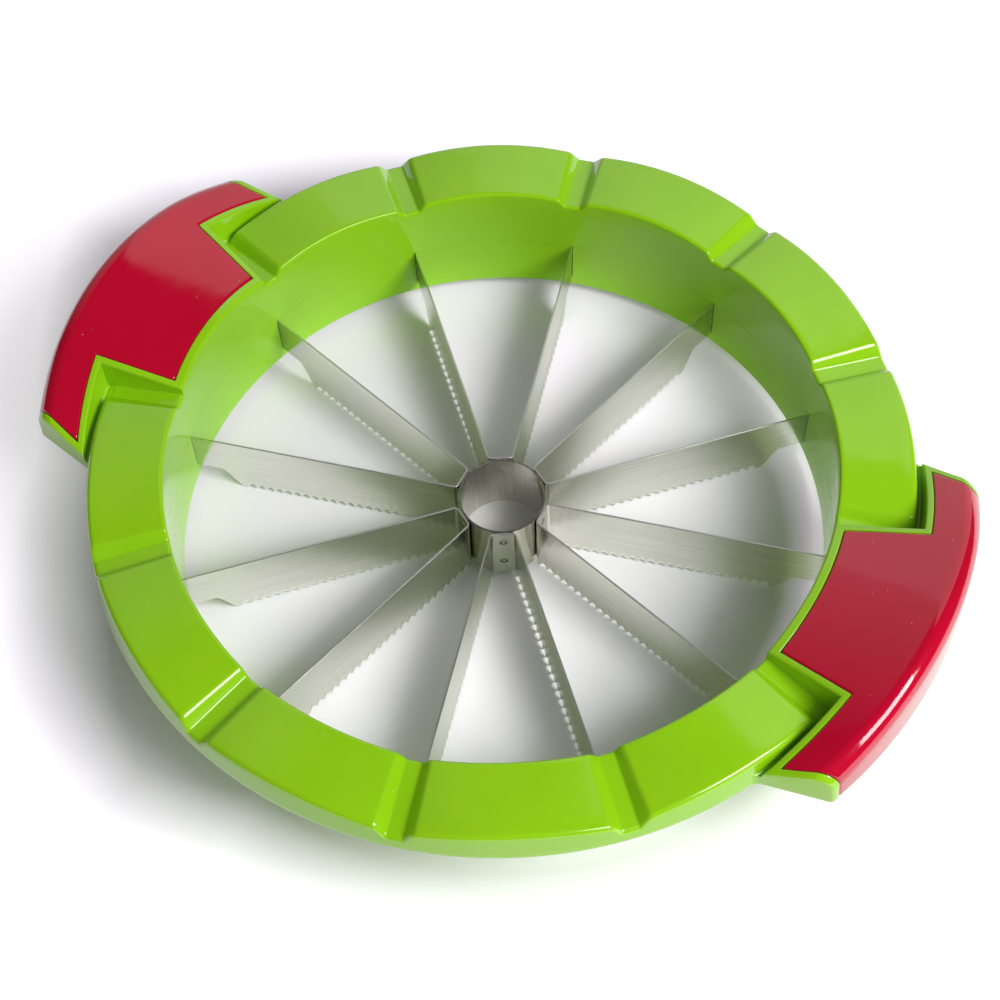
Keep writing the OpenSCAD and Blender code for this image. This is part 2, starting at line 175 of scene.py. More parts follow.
def plastic(name, colour, deep, roughness, clean, coat, dull_r=0):
    """Gloss-moulded plastic: slow drift of tone, a soft skin, hair scratches and grains of dust.

    clean is the share of places without a grain. Within dull_r of the axis, on the wall round the
    melon, the finish shines less.
    """
    made, g, put = new_material(name)
    place = g.place()
    x, y, z = g.split(place)
    tone = g.mix(g.ramp(g.noise(place, DRIFT_SCALE, 3), 0.35, 0.65), colour, deep)
    hair = g.ramp(g.noise(g.stretched((x, y, z), HAIR_SCALES), 1, 1), 0.70, 0.76)
    grain = g.cells(place, DUST_SCALE)
    keep = g.math("GREATER_THAN", g.split(grain["Color"])[0], clean)
    speck = g.mul(g.ramp(grain["Distance"], 0.14, 0.05), keep)
    pale = (colour[0] * 0.5 + 0.5, colour[1] * 0.5 + 0.45, colour[2] * 0.5 + 0.45, 1)
    put("Base Color", g.mix(g.mul(speck, SPECK_SHARE), tone, pale))
    wear = g.noise(place, WEAR_SCALE, 4, 0.6)
    rough = g.ramp(wear, 0.3, 0.7, roughness * 0.8, roughness * 1.25)
    rough = g.add(rough, g.mul(hair, HAIR_ROUGH))
    put("Roughness", g.add(rough, g.mul(speck, SPECK_ROUGH)))
    sunk = g.bump(g.noise(place, SUNK_SCALE, 2), 0.12, SUNK_H)
    skin = g.bump(g.noise(place, SKIN_SCALE, 2), 0.05, SKIN_H, Normal=sunk)
    put("Normal", g.bump(hair, 0.04, HAIR_H, Normal=skin))
    put("IOR", 1.5)
    put("Coat Weight", coat)
    put("Coat Roughness", 0.04)
    if dull_r:
        shine = g.ramp(g.length(x, y), (dull_r - 0.5) * MM, (dull_r + 0.5) * MM)
        specular = g.ramp(shine, 0, 1, DULL_SPECULAR, FULL_SPECULAR)
        put("Coat Weight", g.mul(shine, coat))
        put("Specular IOR Level", specular)
    return made


# Finish of the steel, and in millimetres a strip's bright edges, a ground finish with a painted
# highlight, bridge and weld marks
STAIN_SCALE, BRUSH_H = 45, 0.0001
STEEL_EDGE_TINT = (0.82, 0.82, 0.8, 1)
TOP_EDGE, FACET_EASE, BRIDGE_OUT_R = (32.15, 32.35), 0.1, 20.4
GROUND_AND_HIGHLIGHT_TINT, GROUND_AND_HIGHLIGHT_SHARE, GROUND_ROUGH = (0.95, 0.95, 0.94, 1), 0.6, 0.15
WELD_TINT, WELD_SHARE, WELD_EDGE = (0.05, 0.045, 0.03, 1), 0.85, (0.6, 0.35)


def strip_marks(g, tone, rough, radius, turn, z):
    """A strip's burnished top edge and ground facets, lighter as a painted highlight, and the dark
    rings round its welds.
    """
    share = g.math("DIVIDE", g.sub(radius, TEETH_IN_R * MM), TOOTH_PITCH * MM)
    share = g.math("SINE", g.mul(g.math("FRACT", share), math.pi))
    facet_top = g.mul(g.math("POWER", share, SCALLOP_POWER), (TOOTH_D + FACET_H) * MM)
    facet = g.ramp(g.sub(z, facet_top), FACET_EASE * MM, -FACET_EASE * MM)
    facet = g.mul(facet, g.math("GREATER_THAN", radius, TEETH_IN_R * MM))
    facet = g.mul(facet, g.math("LESS_THAN", radius, TEETH_OUT_R * MM))
    # The top edge and the facets are tinted lighter: partly their ground finish, partly a painted
    # highlight
    edge = g.math("MAXIMUM", g.ramp(z, TOP_EDGE[0] * MM, TOP_EDGE[1] * MM), facet)
    tone = g.mix(g.mul(edge, GROUND_AND_HIGHLIGHT_SHARE), tone, GROUND_AND_HIGHLIGHT_TINT)
    rough = g.add(rough, g.mul(edge, GROUND_ROUGH))
    off = g.math("FLOORED_MODULO", g.add(turn, PAIR_PITCH / 2), PAIR_PITCH)
    off = g.mul(g.sub(off, PAIR_PITCH / 2), radius)
    on_bridge = g.math("LESS_THAN", radius, BRIDGE_OUT_R * MM)
    for height in WELD_HEIGHTS:
        away = g.length(off, g.sub(z, height * MM))
        away = g.math("ABSOLUTE", g.sub(away, WELD_R * MM))
        ring = g.mul(g.ramp(away, WELD_EDGE[0] * MM, WELD_EDGE[1] * MM), on_bridge)
        tone = g.mix(g.mul(ring, WELD_SHARE), tone, WELD_TINT)
    return tone, rough


def steel(name, colour, shade, roughness, grain=(25, 2200, 40), is_strip=False):
    """Brushed steel with faint stains.

    grain is how fine the brushing is along the radius, the height and the turn.
    """
    made, g, put = new_material(name)
    place = g.place()
    x, y, z = g.split(place)
    radius, turn = g.length(x, y), g.math("ARCTAN2", y, x)
    along = g.stretched((radius, z, turn), grain)
    brushed = g.noise(along, 1, 3, 0.65)
    lines = g.noise(along, 2.4, 1)
    stain = g.noise(place, STAIN_SCALE, 4, 0.6)
    tone = g.mix(g.ramp(brushed, 0.3, 0.7), shade, colour)
    tone = g.mix(g.ramp(stain, 0.5, 0.75, 0, 0.3), tone, shade)
    rough = g.ramp(brushed, 0.25, 0.75, roughness * 0.75, roughness * 1.3)
    rough = g.add(rough, g.ramp(stain, 0.5, 0.8, 0, 0.08))
    if is_strip:
        tone, rough = strip_marks(g, tone, rough, radius, turn, z)
    put("Base Color", tone)
    put("Metallic", 1)
    put("Specular Tint", STEEL_EDGE_TINT)
    put("Roughness", rough)
    put("Normal", g.bump(lines, 0.12, BRUSH_H))
    return made


DULL_R = 142.2
green = plastic("green_moulding", linear(143, 199, 20), linear(136, 193, 14), 0.15, 0.988, 0.55,
                DULL_R)
red = plastic("red_moulding", linear(184, 4, 43), linear(176, 3, 38), 0.09, 0.98, 0.5)
# The steel colours lean olive, a painted reflection of the green ring: slight on the blades,
# stronger on the tube
blade_steel = steel("blade_sheet", (0.76, 0.755, 0.72, 1), (0.575, 0.57, 0.54, 1), 0.14,
                    is_strip=True)
tube_steel = steel("tube_sheet", (0.7, 0.69, 0.61, 1), (0.54, 0.53, 0.45, 1), 0.16, (25, 30, 9))
screw_steel = steel("screw_metal", (0.46, 0.46, 0.45, 1), (0.32, 0.32, 0.31, 1), 0.32)

# Sizes of the plastic parts in millimetres, as in the model
OPENING_R, RIM_R, RIM_Z, CROWN_R = 141.0, 172.5, 65.4, 240.0
SKIRT_LOW_Z, SKIRT_H, SKIRT_FLARE = 51.3, 14.1, 2.1
PARTING_Z, PARTING_EASE, WALL = 32.5, 0.1, 3.0
RIM_EDGE_R, OPENING_EDGE_R = 2.6, 1.4
NOTCH_HALF, NOTCH_RUN, NOTCH_D, NOTCH_FALL, RIB_HALF = 3.5, 2.8, 3.5, 1.4, 9.0
GRIP_IN_R, GRIP_OUT_R, GRIP_FLARE, GRIP_EDGE_R = 176.1, 198.1, 0.8, 6.5
GRIP_TILT, GRIP_CROWN_R, GRIP_CREST_Z = math.radians(17.4), 287.0, 66.9
GRIP_HALF_L, END_TILT = 80.0, math.radians(11.4)
STEM_GAP, LIP, INNER_LIP, CAP_T, PLATE_T, FIT = 3.35, 2.8, 4.0, 2.8, 2.6, 0.15
LIP_EDGE_R, CAP_EDGE_R, CAP_GAP, CAP_FOOT = 0.8, 0.6, 0.3, 1.6
SKIRT_R = RIM_R + SKIRT_FLARE
FLARE_ANGLE = math.atan2(SKIRT_FLARE, SKIRT_H)
GRIP_END = (math.sqrt(GRIP_IN_R ** 2 - GRIP_HALF_L ** 2) * math.sin(END_TILT)
            + GRIP_HALF_L * math.cos(END_TILT))
ARC_R = GRIP_OUT_R - GRIP_EDGE_R
UNDER = CAP_T + FIT + PLATE_T

# Roundings of the skin that the model leaves sharp, in millimetres
RECESS_EDGE_R, NOTCH_SOFT, SEGMENT_SOFT = 0.35, 0.7, 1.5
STEP = 0.01


def crown_drop(w):
    return CROWN_R - math.sqrt(CROWN_R ** 2 - w * w)


def segment_end_drop(r):
    return crown_drop(r * math.sin(HALF_PITCH) - NOTCH_HALF - NOTCH_RUN)


NOTCH_IN_Z = RIM_Z - segment_end_drop(OPENING_R) - NOTCH_D
NOTCH_OUT_Z = RIM_Z - segment_end_drop(SKIRT_R) - NOTCH_D - NOTCH_FALL
CHANNEL_Z = NOTCH_OUT_Z - FIT
CEILING_Z = NOTCH_OUT_Z - WALL
POCKET_Z = RIM_Z - segment_end_drop(RIM_R) - WALL


def notch_floor(r):
    return NOTCH_IN_Z + (NOTCH_OUT_Z - NOTCH_IN_Z) * (r - OPENING_R) / (SKIRT_R - OPENING_R)


def soft_min(a, b, width):
    h = min(1, max(0, 0.5 + 0.5 * (b - a) / width))
    return b + (a - b) * h - width * h * (1 - h)


def notch_side(r, u):
    rise = NOTCH_D / NOTCH_RUN * (abs(u) - NOTCH_HALF)
    return notch_floor(r) - soft_min(0, -rise, NOTCH_SOFT)


def in_pitch(theta):
    """Angle from the middle of the rim segment that it is in."""
    return (theta + HALF_PITCH) % (2 * HALF_PITCH) - HALF_PITCH


def off_notch(r, theta):
    """Distance from the nearest notch's middle line, for an angle inside one pitch."""
    return r * math.sin(HALF_PITCH - abs(theta))


def rim_top(r, theta):
    """Height of a crowned segment and of the notches at its ends; theta is from its middle."""
    crown = RIM_Z - crown_drop(r * math.sin(theta))
    return soft_min(crown, notch_side(r, off_notch(r, theta)), SEGMENT_SOFT)


@functools.lru_cache(None)
def segment_edge(r):
    """Distance from the notch line at which the notch's side meets the crown."""
    u = NOTCH_HALF + NOTCH_RUN
    for _ in range(20):
        w = r * math.sin(HALF_PITCH - math.asin(u / r))
        u = NOTCH_HALF + (RIM_Z - crown_drop(w) - notch_floor(r)) * NOTCH_RUN / NOTCH_D
    return u


def skirt_line(z):
    return RIM_R + (RIM_Z - z) * SKIRT_FLARE / SKIRT_H


def grip_top(r, theta):
    """Height of the grip's sloped and crowned outline."""
    x, y = r * math.cos(theta), r * math.sin(theta)
    crown = y * y / (2 * GRIP_CROWN_R * math.cos(GRIP_TILT))
    return GRIP_CREST_Z + (x - OPENING_R) * math.tan(GRIP_TILT) - crown


def grip_slope(r, theta):
    return math.atan(grip_top(r + 0.5, theta) - grip_top(r - 0.5, theta))


def edge_drop(d, radius):
    """Drop of a rounded edge at a distance d inside it."""
    d = min(max(d, 0), radius)
    return radius - math.sqrt(max(0, radius ** 2 - (radius - d) ** 2))


def stem_depth(r, theta):
    return off_notch(r, theta) - STEM_GAP


def end_depth(r, theta):
    return GRIP_END - r * math.sin(abs(theta) + END_TILT)


def stem_angle(d, r):
    return HALF_PITCH - math.asin((STEM_GAP + d) / r)


def end_angle(d, r):
    return math.asin((GRIP_END - d) / max(r, skirt_line(CHANNEL_Z))) - END_TILT


def lip_depth(d):
    """Depth of the green grip frame under the grip's outline: its lip, then the cap's recess."""
    if d > LIP + STEP:
        return CAP_T + FIT
    return edge_drop(d, LIP_EDGE_R) + edge_drop(LIP - d, RECESS_EDGE_R)


def frame_depth(r, theta):
    """Depth below the grip's outline, at a point inside the T-shaped plan."""
    inside = (r - OPENING_R) * (LIP - LIP_EDGE_R) / INNER_LIP + LIP_EDGE_R
    stem = min(stem_depth(r, theta), inside)
    wing = min(r - GRIP_IN_R, end_depth(r, theta))
    return lip_depth(max(stem, wing))


def frame_top(r, theta):
    """Height of the green grip frame."""
    return grip_top(r, theta) - frame_depth(r, theta) / math.cos(GRIP_TILT)


def plate_low(r, theta):
    """Height of the underside of the plate that carries the cap."""
    return grip_top(r, theta) - UNDER / math.cos(GRIP_TILT)


@dataclasses.dataclass
class Column:
    """One radial line of the ring's skin: its angle by radius, and what the ring is there."""

    angle: object
    kind: str
    lift: float = 0
    is_end: bool = False

    def height(self, r):
        t = self.angle(r)
        if self.kind == "stem":
            return frame_top(r, t)
        if self.kind == "floor":
            return notch_floor(r) + self.lift
        return rim_top(r, in_pitch(t))

    def mirrored(self):
        return dataclasses.replace(self, angle=lambda r: -self.angle(r))


# Rows of the ring's skin: heights on the wall, then radii, or distances inside the lip's outline
WALL_ROWS = [PARTING_Z + PARTING_EASE, 40, 48, 55]
TOP_ROWS = [143.5, 144.4, 144.62, 144.82, 144.96, 145.05, 147, 150, 154, 158, 162, 166]
STEM_ROWS, STEM_END, EDGE_ROW = (169.9, 172.9), 173.3, 170.5
WING_ROWS = [0.06, 0.22, 0.45, LIP_EDGE_R, 1.5, 2.1, LIP - 0.35, LIP - 0.12, LIP, LIP + 0.03]
ARC_STEPS, FILLET_STEPS, WALL_STEPS, INNER_STEPS = 10, 7, 4, 5
FOOT_EASE, FOOT_MIDDLE = 0.5, 0.12
LEAST_STEP, LEVEL_SHARE = 0.02, 0.3


def skin_shared(column):
    """Rows from the foot of the opening's wall over the rim to the channel's level on the skirt."""
    inner = column.height(OPENING_R + OPENING_EDGE_R) - OPENING_EDGE_R
    rows = [(OPENING_R, z) for z in WALL_ROWS]
    for i in range(INNER_STEPS + 1):
        a = math.radians(90 * i / INNER_STEPS)
        rows.append((OPENING_R + OPENING_EDGE_R * (1 - math.cos(a)),
                     inner + OPENING_EDGE_R * math.sin(a)))
    rows += [(r, column.height(r)) for r in TOP_ROWS]
    if column.kind == "stem":
        first, last = STEM_ROWS
        radii = [first + (last - first) * i / FILLET_STEPS for i in range(FILLET_STEPS + 1)]
        radii += [STEM_END, skirt_line(CHANNEL_Z)]
        return rows + [(r, column.height(r)) for r in radii]
    by_channel = column.kind != "rim"
    low = CHANNEL_Z if by_channel else 0
    r_edge = skirt_line(column.height(EDGE_ROW) - RIM_EDGE_R) - RIM_EDGE_R / math.cos(FLARE_ANGLE)
    z_edge = column.height(r_edge) - RIM_EDGE_R
    for i in range(FILLET_STEPS + 1):
        a = math.pi / 2 - (math.pi / 2 - FLARE_ANGLE) * i / FILLET_STEPS
        rows.append((r_edge + RIM_EDGE_R * math.cos(a),
                     max(low, z_edge + RIM_EDGE_R * math.sin(a))))
    z_last = rows[-1][1]
    z_level = CHANNEL_Z
    if not by_channel:
        z_level = min(CHANNEL_Z, z_last - LEVEL_SHARE * (z_last - SKIRT_LOW_Z))
    for z in ((z_last + z_level) / 2, z_level):
        rows.append((max(skirt_line(z), rows[-1][0] + LEAST_STEP), z))
    return rows


def skin_skirt(last):
    """Rows from the channel's level down the skirt to its foot, which has an eased edge."""
    middle = (last[1] + SKIRT_LOW_Z) / 2
    ease = SKIRT_LOW_Z + FOOT_EASE
    return [(skirt_line(middle), middle), (skirt_line(ease), ease),
            (SKIRT_R - FOOT_MIDDLE, SKIRT_LOW_Z + FOOT_MIDDLE), (SKIRT_R - FOOT_EASE, SKIRT_LOW_Z)]


def outer_profile(theta_of, depth_of, foot):
    """Rounded outer edge and outer wall of a grip, at a depth under its outline."""
    t = theta_of(ARC_R)
    slope = grip_slope(ARC_R, t)
    z_arc = grip_top(ARC_R, t) - GRIP_EDGE_R / math.cos(slope)
    rows = []
    for i in range(ARC_STEPS + 1):
        a = (math.pi / 2 + slope) * (1 - i / ARC_STEPS)
        reach = GRIP_EDGE_R - depth_of(ARC_R + GRIP_EDGE_R * math.cos(a))
        rows.append((ARC_R + reach * math.cos(a), z_arc + reach * math.sin(a)))
    for i in range(1, WALL_STEPS + 1):
        z = z_arc + (foot - z_arc) * i / WALL_STEPS
        r = GRIP_OUT_R + GRIP_FLARE * (z_arc - z) / (z_arc - SKIRT_LOW_Z)
        rows.append((r - depth_of(r), z))
    return rows


# Rows of a grip: radii and rises of the groove beside it, then radii over and under the cap's plate
GROOVE_ROWS = [(174.15, -0.25), (174.9, -0.4), (175.5, -0.1), (175.95, 0.6)]
RECESS_ROWS, PLATE_ROWS = (180.5, 182.5, 184), (182, 179.3)
CLOSED_ROWS = (196.1, 194, 192.5, 190, 186, 182, 179.3)
NECK_ROWS, NECK_R = (178.9, 176.1, 174.1), 176
GRIP_FOOT_EASE, HOLLOW_LOW, OPEN_STEP, NUDGE = 0.3, 1, 0.02, 1e-4


def skin_grip(column):
    """Rows of a grip: groove, inner wall, lip, recess, outer edge, foot and the hollow below."""
    stem = column.kind == "stem"
    theta = column.angle

    def end_of(r):
        return end_depth(r, theta(r))

    rows = [(r, frame_top(r, theta(r)) if stem else CHANNEL_Z + rise) for r, rise in GROOVE_ROWS]
    for d in [0] + WING_ROWS:
        r = GRIP_IN_R + d + NUDGE
        rows.append((GRIP_IN_R + d, frame_top(r, theta(r))))
    rows += [(r, frame_top(r, theta(r))) for r in RECESS_ROWS]
    rows += outer_profile(theta, lambda r: lip_depth(end_of(min(r, GRIP_OUT_R))),
                          SKIRT_LOW_Z + GRIP_FOOT_EASE)
    foot_r = rows[-1][0] - GRIP_FOOT_EASE
    rows.append((foot_r, SKIRT_LOW_Z))
    if end_of(GRIP_OUT_R) < LIP + OPEN_STEP:
        rows += [(r, SKIRT_LOW_Z) for r in CLOSED_ROWS]
    else:
        inner = outer_profile(theta, lambda r: UNDER, SKIRT_LOW_Z + HOLLOW_LOW)
        rows.append((foot_r - PLATE_T, SKIRT_LOW_Z))
        rows += [inner[-1], inner[ARC_STEPS], inner[ARC_STEPS // 2], inner[0]]
        rows += [(r, plate_low(r, theta(r))) for r in PLATE_ROWS]
    is_open = stem and stem_depth(NECK_R, theta(NECK_R)) > LIP + OPEN_STEP
    return rows + [(r, plate_low(r, theta(r)) if is_open else SKIRT_LOW_Z) for r in NECK_ROWS]


# The hollow under the rim: eased corners, radii across it, and a height on its inner wall
HOLLOW_EASE, HOLLOW_FOOT, HOLLOW_SHIFT = 0.5, 0.4, 0.2
RIM_MID_R, RIM_NEAR_R, HOLLOW_WALL_Z = 160, 150, 45


def skin_under(column):
    """Rows of the ring's hollow underside, from the skirt's foot to the opening wall's foot."""
    theta = column.angle
    mid = theta(RIM_MID_R)
    inside, outside = OPENING_R + WALL, RIM_R - WALL
    radii = [outside + HOLLOW_FOOT, outside, outside, outside - HOLLOW_EASE, RIM_MID_R, RIM_NEAR_R,
             inside + HOLLOW_EASE, inside]
    if column.kind == "stem" and stem_depth(RIM_MID_R, mid) > LIP + OPEN_STEP:
        radii[2] -= HOLLOW_SHIFT
        heights = [plate_low(r, theta(r)) for r in radii]
        heights[-1] -= HOLLOW_EASE
    else:
        over_rib = off_notch(RIM_MID_R, in_pitch(mid)) <= RIB_HALF
        ceiling = CEILING_Z if over_rib else POCKET_Z
        heights = [SKIRT_LOW_Z, SKIRT_LOW_Z + HOLLOW_FOOT, ceiling - HOLLOW_EASE]
        heights += [ceiling] * 4 + [ceiling - HOLLOW_EASE]
    rows = list(zip(radii, heights))
    rows += [(inside, HOLLOW_WALL_Z), (inside, PARTING_Z + PARTING_EASE),
             (inside - PARTING_EASE, PARTING_Z), (OPENING_R + PARTING_EASE, PARTING_Z)]
    return rows


def at_notch(u_of, side=1):
    """Angle of a line beside the notch line at 15 degrees; a positive distance is towards 0."""
    return lambda r: HALF_PITCH - side * math.asin(u_of(r) / r)


EDGE_OFFSETS = [2.2, 1.6, 1.2, 0.85, 0.55, 0.25, 0, -0.3, -0.6, -1.0]
FLOOR_OFFSETS = [4.15, 3.95, 3.75, 3.5, 3.25, 3.0, 2.4, 1.2]
MIDDLE_STEPS, WING_STEPS = 6, 5


def half_notch():
    """Distances from the notch line, from the segment to the middle of the floor."""
    edge = [lambda r, e=e: segment_edge(r) + e for e in EDGE_OFFSETS]
    return edge + [lambda r, u=u: u for u in FLOOR_OFFSETS]


def line_at(angle_of, d):
    """Line at a distance inside one side of a grip's plan."""
    return lambda r: angle_of(d, r)


def between(a, b, share):
    return lambda r: a(r) + (b(r) - a(r)) * share


def from_middle(line, steps):
    """Lines from the middle, at angle 0, to just before the given line."""
    return [between(lambda r: 0, line, i / steps) for i in range(steps)]


def plain_columns():
    """From the middle of one rim segment to just before the middle of the next."""
    side = [at_notch(u) for u in half_notch()]
    first = from_middle(side[0], MIDDLE_STEPS) + side
    second = [lambda r, f=f: 2 * HALF_PITCH - f(r) for f in reversed(first)]
    return [Column(f, "rim") for f in first + [lambda r: HALF_PITCH] + second[:-1]]


STEM_OFFSETS = [4.7, 3.6] + WING_ROWS[::-1] + [0]
STEM_FEET = [(-0.1, 0.6), (-0.22, 0.3), (-0.5, 0.08), (-0.9, 0)]
END_OFFSETS = [4.2, LIP + 0.03, LIP, LIP - 0.12, LIP - 0.35, 2.0, 1.4, LIP_EDGE_R, 0.45, 0.22,
               0.06, 0]


def grip_columns():
    """From the middle of a grip to the middle of the rim segment beside it."""
    stem = [line_at(stem_angle, d) for d in STEM_OFFSETS]
    made = [Column(f, "stem") for f in from_middle(stem[0], MIDDLE_STEPS) + stem]
    made += [Column(line_at(stem_angle, d), "floor", lift) for d, lift in STEM_FEET]
    made += [Column(at_notch(lambda r, u=u: u), "floor") for u in (1.2, 0)]
    side = [at_notch(u, -1) for u in reversed(half_notch())]
    made += [Column(f, "floor" if i < 2 else "wing") for i, f in enumerate(side)]
    ends = [line_at(end_angle, d) for d in END_OFFSETS]
    made += [Column(between(side[-1], ends[0], i / WING_STEPS), "wing")
             for i in range(1, WING_STEPS)]
    made += [Column(f, "wing") for f in ends]
    made[-1].is_end = True
    made.append(Column(between(ends[-1], lambda r: 2 * HALF_PITCH, 0.5), "rim"))
    return made


SHARP_ANGLE = math.radians(38)


def new_piece(name, bm, material, *nodes):
    """Makes an object of a mesh in millimetres; it stands for the named nodes of the model."""
    bmesh.ops.recalc_face_normals(bm, faces=bm.faces)
    bmesh.ops.scale(bm, vec=(MM, MM, MM), verts=bm.verts)
    for face in bm.faces:
        face.smooth = True
    mesh = bpy.data.meshes.new(name)
    bm.to_mesh(mesh)
    bm.free()
    mesh.set_sharp_from_angle(angle=SHARP_ANGLE)
    mesh.materials.append(material)
    piece = bpy.data.objects.new(name, mesh)
    bpy.context.scene.collection.objects.link(piece)
    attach(piece, "root")
    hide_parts(*nodes)


def polar(r, theta, z):
    return (r * math.cos(theta), r * math.sin(theta), z)


def ring_loop():
    """Every column of the ring with the rotation it is drawn at, once round."""
    plain, grip = plain_columns(), grip_columns()
    half = [c.mirrored() for c in reversed(grip[1:])] + grip
    loop = []
    for start in (30, 210):
        for k in range(4):
            loop += [(c, math.radians(start + 30 * k)) for c in plain]
        loop.append((plain[0], math.radians(start + 120)))
        loop += [(c, math.radians(start + 150)) for c in half]
    return loop


def join_loops(bm, a, b):
    """Faces between two closed loops with as many points."""
    for i in range(len(a)):
        j = (i + 1) % len(a)
        bm.faces.new((a[i], a[j], b[j], b[i]))


def draw_skin(bm):
    """The ring's skin: faces between each two columns, and flat faces at the grips' ends."""
    drawn = []
    for column, turn in ring_loop():
        def put(rows):
            return [bm.verts.new(polar(r, column.angle(r) + turn, z)) for r, z in rows]
        shared = skin_shared(column)
        on_grip = column.kind != "rim"
        parts = {"shared": put(shared), "under": put(skin_under(column))}
        if on_grip:
            parts["grip"] = put(skin_grip(column))
        if not on_grip or column.is_end:
            parts["skirt"] = put(skin_skirt(shared[-1]))
        if column.is_end:
            bm.verts.remove(parts["skirt"][-1])
            parts["skirt"][-1] = parts["grip"][-1]
            bm.faces.new([parts["shared"][-1]] + parts["grip"] + parts["skirt"][-2::-1])
        drawn.append(parts)
    for a, b in zip(drawn, drawn[1:] + drawn[:1]):
        middle = "grip" if "grip" in a and "grip" in b else "skirt"
        join_loops(bm, *(c["shared"] + c[middle] + c["under"] for c in (a, b)))


def circle_points(r, steps):
    """Points of a circle about the axis."""
    angles = [2 * math.pi * i / steps for i in range(steps)]
    return [(r * math.cos(a), r * math.sin(a)) for a in angles]


def join_rings(bm, rings, steps):
    """Faces between each two rings of points; a ring may be a single point on the axis."""
    for a, b in zip(rings, rings[1:]):
        for i in range(steps):
            j = (i + 1) % steps
            corners = [a[i % len(a)], b[i % len(b)], b[j % len(b)], a[j % len(a)]]
            bm.faces.new(list(dict.fromkeys(corners)))


def draw_lathe(bm, profile, place, steps=32):
    """A turned solid about an upright axis; the profile runs from the axis to the axis."""
    x, y = place
    rings = []
    for r, z in profile:
        points = circle_points(r, steps) if r else [(0, 0)]
        rings.append([bm.verts.new((x + px, y + py, z)) for px, py in points])
    join_rings(bm, rings, steps)


def draw_prism(bm, low, high):
    """A solid between two outlines with as many points."""
    a = [bm.verts.new(p) for p in low]
    b = [bm.verts.new(p) for p in high]
    bm.faces.new(a[::-1])
    bm.faces.new(b)
    join_loops(bm, a, b)


# Corners at the grips' ends, posts with pilot holes for the ring screws, seats of the grip screws
FILLET_R, FILLET_ROOT, FILLET_SINK, CORNER_STEPS = 5.0, 1.4, 0.05, 8
POST_HALF, POST_R, POST_EASE, PILOT_R, PILOT_H, PILOT_EASE = 4.5, 149.5, 0.3, 1.6, 6, 0.2
POST_PLACES = [polar(POST_R, math.radians(30 + 60 * k), 0)[:2] for k in range(6)]
POST_TOP = POCKET_Z + 1
SEAT_HALF, SEAT_Z, SEAT_EASE, SEAT_H, BORE_R, BORE_H = 7.1, 63.47, 0.4, 7.4, 3.4, 1
BOSS_X, BOSS_Y = 180.94, 41.77


def fillet_outline(z):
    """Corner between a grip's end face and the skirt, in the frame of the end face."""
    skirt = skirt_line(z) - FILLET_SINK
    y = GRIP_END + FILLET_R - FILLET_SINK
    x = math.sqrt((skirt + FILLET_R) ** 2 - y * y)
    stop = math.atan2(-y, -x)
    points = []
    for i in range(CORNER_STEPS + 1):
        a = -math.pi / 2 + (stop + math.pi / 2) * i / CORNER_STEPS
        points.append((x + FILLET_R * math.cos(a), y + FILLET_R * math.sin(a)))
    root_r, root_y = RIM_R - WALL / 2, GRIP_END - FILLET_ROOT
    inside = root_r / (skirt + FILLET_R)
    points += [(x * inside, y * inside), (math.sqrt(root_r ** 2 - root_y ** 2), root_y),
               (x, root_y)]
    return points


def build_ring(material):
    bm = bmesh.new()
    draw_skin(bm)
    post = [(0, PARTING_Z + PILOT_H), (PILOT_R, PARTING_Z + PILOT_H),
            (PILOT_R, PARTING_Z + PILOT_EASE), (PILOT_R + PILOT_EASE, PARTING_Z),
            (POST_HALF - POST_EASE, PARTING_Z), (POST_HALF, PARTING_Z + POST_EASE),
            (POST_HALF, POST_TOP), (0, POST_TOP)]
    for place in POST_PLACES:
        draw_lathe(bm, post, place)
    seat = [(0, SEAT_Z + BORE_H), (BORE_R, SEAT_Z + BORE_H), (BORE_R, SEAT_Z),
            (SEAT_HALF - SEAT_EASE, SEAT_Z), (SEAT_HALF, SEAT_Z + SEAT_EASE),
            (SEAT_HALF, SEAT_Z + SEAT_H), (0, SEAT_Z + SEAT_H)]
    c, s = math.cos(-END_TILT), math.sin(-END_TILT)
    for facing in (1, -1):
        for side in (1, -1):
            draw_lathe(bm, seat, (facing * BOSS_X, side * BOSS_Y))
            ends = []
            for z in (SKIRT_LOW_Z + FILLET_SINK, CHANNEL_Z - GRIP_FOOT_EASE):
                flat = [(x * c - y * s, side * (x * s + y * c)) for x, y in fillet_outline(z)]
                ends.append([(x * facing, y * facing, z) for x, y in flat])
            draw_prism(bm, *ends)
    new_piece("ring_moulding", bm, material, "upper_ring")


# Caps: rounding of their corners in plan, distances inside their outline, and radii across them
CAP_CORNER_R = 1.6
CAP_OFFSETS = [3.0, CAP_CORNER_R, 1.25, 0.9, CAP_EDGE_R, 0.28, 0.12, 0.03, 0]
CAP_IN_R = OPENING_R + INNER_LIP + CAP_GAP
CAP_WING_R = GRIP_IN_R + LIP + CAP_GAP
CAP_INSET = LIP + CAP_GAP
CAP_STEM_ROWS, CAP_WING_ROWS = [148, 153, 158, 163, 168, 173, 177], [181.5, 183.2]
CAP_STEPS = 8
# Sides of a cell of the cap's grid: the neighbour there, and the cell's two corners on that side
CELL_SIDES = [((-1, 0), (0, 0), (0, 1)), ((1, 0), (1, 0), (1, 1)),
              ((0, -1), (0, 0), (1, 0)), ((0, 1), (0, 1), (1, 1))]


def round_corner(a, b):
    """Moves a point at distances a and b inside a square corner's sides onto a rounded corner."""
    if max(a, b) >= CAP_CORNER_R:
        return a, b
    reach = CAP_CORNER_R - min(a, b)
    share = (CAP_CORNER_R - max(a, b)) / reach
    turn = math.radians(180 + 45 * share if a <= b else 270 - 45 * share)
    return CAP_CORNER_R + reach * math.cos(turn), CAP_CORNER_R + reach * math.sin(turn)


